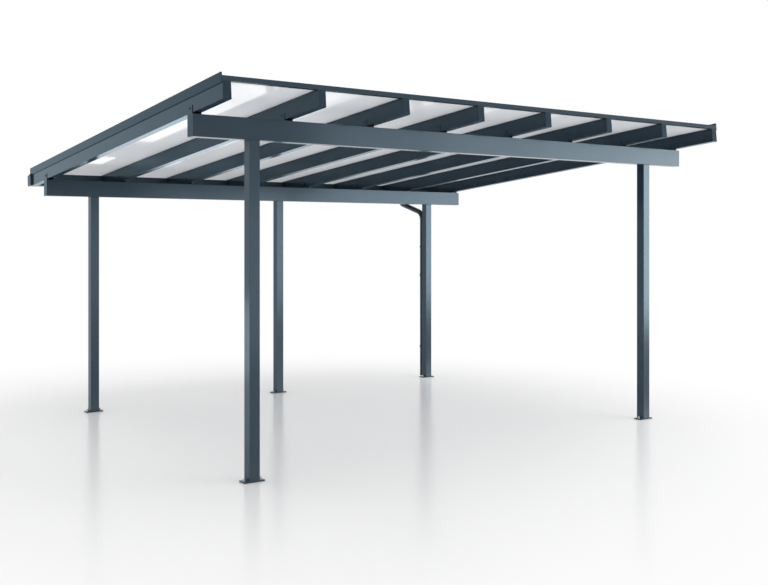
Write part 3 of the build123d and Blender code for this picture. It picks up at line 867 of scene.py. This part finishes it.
outlet_low, outlet_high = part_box("gutter_outlet")
outlet_middle = (outlet_low + outlet_high) / 2
along_outlet, above_floor = rafter_length + 0.0475, 0.0042
ring_radius, ring_wire, basket_wire, basket_height = 0.0265, 0.0016, 0.0012, 0.042
floor_level = on_roof(outlet_middle.x, along_outlet, wall).z
ring_middle = Vector((outlet_middle.x, outlet_middle.y, floor_level + above_floor))
basket_form = bmesh.new()
add_bead(basket_form, circle_path(ring_middle, ring_radius), ring_wire, closed=True)
for degrees in range(15, 360, 30):
    heading = math.radians(degrees)
    outwards = Vector((math.cos(heading), math.sin(heading), 0))
    arch = [ring_middle + outwards * (ring_radius * math.cos(rise))
            + upright * (basket_height * math.sin(rise))
            for rise in (math.radians(angle) for angle in (0, 15, 30, 45, 60, 75, 87))]
    add_bead(basket_form, arch, basket_wire, sides=6)
button_radius, below, above = 0.0045, 0.003, 0.0015
basket_top = ring_middle + upright * basket_height
add_bead(basket_form, [basket_top - upright * below, basket_top + upright * above],
         button_radius, sides=14)
finish_piece("leaf_basket", mesh_of("leaf_basket", basket_form), stainless)

# %% [markdown]
# ## Rings on the rainwater pipe
# The mouth of each pipe socket is rolled into a ring, which stiffens it, and a second ring
# marks the end of the socket. They are closed beads. One pair is on the downpipe's mouth, and
# the other on the outlet's lower end.
# %% Pipe rings
pipe_low, pipe_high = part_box("downpipe")
pipe_middle = Vector(((pipe_low.x + pipe_high.x) / 2, (pipe_low.y + pipe_high.y) / 2, 0))
pipe_mouth = pipe_middle + upright * pipe_high.z
outlet_foot = Vector((outlet_middle.x, outlet_middle.y, outlet_low.z))
socket_radius, ring_thickness, ring_distances = 0.0333, 0.0017, (0.0020, 0.0340)
ring_form = bmesh.new()
for mouth, inwards in ((pipe_mouth, -upright), (outlet_foot, upright)):
    for distance in ring_distances:
        add_bead(ring_form, circle_path(mouth + inwards * distance, socket_radius),
                 ring_thickness, closed=True)
finish_piece("pipe_rings", mesh_of("pipe_rings", ring_form), pipe_coat)

# %% [markdown]
# ## Pipe clips
# The clips that hold the pipe are rings in two halves: a pin hinges them on one side, and a
# screw draws their ears together on the other. The picture shows no ears on the pipe's near
# side, so they lie behind the post. The pin is a short round bead, and each ear a thin block.
# %% Pipe clip ears, hinges and screws
clip_heights, clip_width, clip_radius = (0.350, 1.550), 0.025, 0.0333
ear_length, ear_inset, ear_sink = 0.0130, 0.002, 0.001
ear_near, ear_far, screw_out = 0.0006, 0.0036, 0.0075
pin_radius, pin_out = 0.0021, 0.0006
block_faces = ((0, 1, 3, 2), (4, 6, 7, 5), (0, 4, 5, 1), (2, 3, 7, 6), (0, 2, 6, 4),
               (1, 5, 7, 3))
clip_form = bmesh.new()
clip_screws = []
for base in clip_heights:
    clip_middle = pipe_middle + upright * base
    ear_root = clip_middle + Vector((clip_radius - ear_sink, 0, 0))
    for side in (-1, 1):
        corners = [clip_form.verts.new(ear_root + Vector((out, across, rise)))
                   for out in (0.0, ear_length)
                   for across in sorted((side * ear_near, side * ear_far))
                   for rise in (ear_inset, clip_width - ear_inset)]
        for face in block_faces:
            clip_form.faces.new([corners[corner] for corner in face])
    screw_place = ear_root + Vector((screw_out, ear_far, clip_width / 2))
    clip_screws.append((screw_place, Vector((0, 1, 0))))
    pin = clip_middle - Vector((clip_radius + pin_out, 0, 0))
    add_bead(clip_form, [pin, pin + upright * clip_width], pin_radius, sides=12)
finish_piece("clip_ears", mesh_of("clip_ears", clip_form), pipe_coat)
add_fasteners("clip_screws", clip_screws, stainless, "rain_pipe",
              washer_radius=0.0050, washer_height=0.0008, head_radius=0.0040,
              head_height=0.0022, crown_height=0.0010, crown_share=0.6, head_sides=18)

# %% [markdown]
# ## The studio floor
# The floor is white, polished and endless: near the carport it shows soft shadows and blurred
# mirror images of the posts, and far away it melts into the white room. A round mask around
# the carport mixes the polished floor with plain white light, which only the camera, mirrors
# and clear things see, so that it lights nothing.
# %% Finish: floor
def white_seen(tree):
    """One for rays from the camera, mirrors and clear things, and zero for all others."""
    rays = add_node(tree, "ShaderNodeLightPath").outputs
    seen = add_math(tree, "MAXIMUM", rays["Is Camera Ray"], rays["Is Glossy Ray"])
    return add_math(tree, "MAXIMUM", seen, rays["Is Transmission Ray"])


floor_centre, fade_start, fade_end = (0.95, 0, 0), 2.2, 5.7


def make_floor_finish():
    """Polished white floor that fades into plain white, away from the carport."""
    material, tree, shader, place = new_finish("studio_floor")
    set_inputs(tree, shader, {"Base Color": (0.945, 0.945, 0.945, 1), "Roughness": 0.19,
                              "IOR": 1.2})
    centred = add_node(tree, "ShaderNodeMapping", {"Vector": place, "Location": floor_centre})
    far = add_node(tree, "ShaderNodeVectorMath", {0: centred.outputs["Vector"]},
                   operation="LENGTH")
    fade = add_range(tree, far.outputs["Value"], (fade_start, fade_end),
                     interpolation_type="SMOOTHSTEP")
    share = add_math(tree, "MULTIPLY", fade, white_seen(tree))
    white = add_node(tree, "ShaderNodeEmission", {"Color": (1, 1, 1, 1), "Strength": 1.0})
    blend_surface(tree, share, shader, white.outputs["Emission"])
    return material


# %% Floor
floor_radius, floor_sides = 60, 96
floor_mesh = bpy.data.meshes.new("floor")
floor_form = bmesh.new()
bmesh.ops.create_circle(floor_form, cap_ends=True, segments=floor_sides, radius=floor_radius)
floor_form.to_mesh(floor_mesh)
floor_form.free()
floor_mesh.materials.append(make_floor_finish())
floor = new_object("floor", floor_mesh)
floor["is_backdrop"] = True
print("floor radius", floor_radius, "m; white from", fade_end, "m on")

# %% [markdown]
# ## Studio light
# The room itself is white and gives most of the light, from all sides. A large soft box hangs
# over the left half of the roof, where the sheets in the picture are brightest. A bank of
# upright soft boxes stands in front, each stronger than the one to its left: the coated faces
# that look forward mirror it and turn paler towards the right. The boxes end below four
# metres, so the tilted rafter ends look over them and stay dark.
# %% World
world = bpy.data.worlds.new("studio")
bpy.context.scene.world = world
world.use_nodes = True
room = world.node_tree
room_light, room_white = 0.78, 1.0
level = add_range(room, white_seen(room), target=(room_light, room_white))
set_inputs(room, room.nodes["Background"], {"Strength": level, "Color": (1, 1, 1, 1)})
print("the room gives", room_light, "of light and looks", room_white)


# %% Lamps
def hang_lamp(name, place, target, width, height, radiance):
    """A soft box that looks at a point; its radiance adds to that of the room behind it."""
    data = bpy.data.lights.new(name, "AREA")
    data.shape = "RECTANGLE"
    data.size, data.size_y = width, height
    data.energy = radiance * math.pi * width * height
    lamp = new_object(name, data)
    lamp.location = place
    lamp.rotation_euler = (Vector(target) - Vector(place)).to_track_quat("-Z", "Y").to_euler()
    return lamp


hang_lamp("overhead_soft_box", (-1.9, -0.8, 6.8), (-1.9, -0.8, 0), 5, 5, 1.4)
bank_y, bank_level, bank_height = -8.0, 1.8, 3.6
bank = [(2.4, 4.6, 2.7), (4.6, 7.0, 4.5), (7.0, 9.4, 6.0), (9.4, 12.6, 7.6)]
for number, (left, right, radiance) in enumerate(bank, 1):
    middle = (left + right) / 2
    lamp = hang_lamp(f"front_soft_box_{number}", (middle, bank_y, bank_level),
                     (middle, 0, bank_level), right - left, bank_height, radiance)
    lamp.visible_camera = False
print("soft boxes in the bank:", len(bank))

# %% [markdown]
# ## Soft boxes that only mirrors show
# Three more boxes are only there to be mirrored, and light nothing else. One stands low behind
# on the left, for the lower half of the front left post's left side. One stands in front, and
# the same post's front mirrors it. The last lies on the floor behind the carport and faces up:
# glossy sheets seen from below mirror that floor, and in the picture their streaks are white.
# %% Boxes to be mirrored
mirrored_boxes = [
    ("left_soft_box", (-4.9, 2.6, 0.45), (-2.1, -1.85, 0.45), 2.0, 0.9, 1.5),
    ("post_soft_box", (1.3, bank_y, 1.1), (1.3, 0, 1.1), 0.8, 2.2, 1.45),
    ("floor_soft_box", (1.95, 8.1, 0.03), (1.95, 8.1, 9), 3.1, 6.6, 0.95),
]
for box in mirrored_boxes:
    lamp = hang_lamp(*box)
    lamp.visible_camera = False
    lamp.visible_diffuse = False

# %% [markdown]
# ## Measure and finish
# The looks must not change the size of the carport. Its box is printed as it was loaded and
# as it is now, so that the two can be compared.
# %% Sizes
def plain_box(corners):
    """A box as plain lists of numbers."""
    return [[float(value) for value in corner] for corner in corners]


sizes = {"cad": plain_box(cad_box), "visual": plain_box(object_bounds())}
print(sizes)
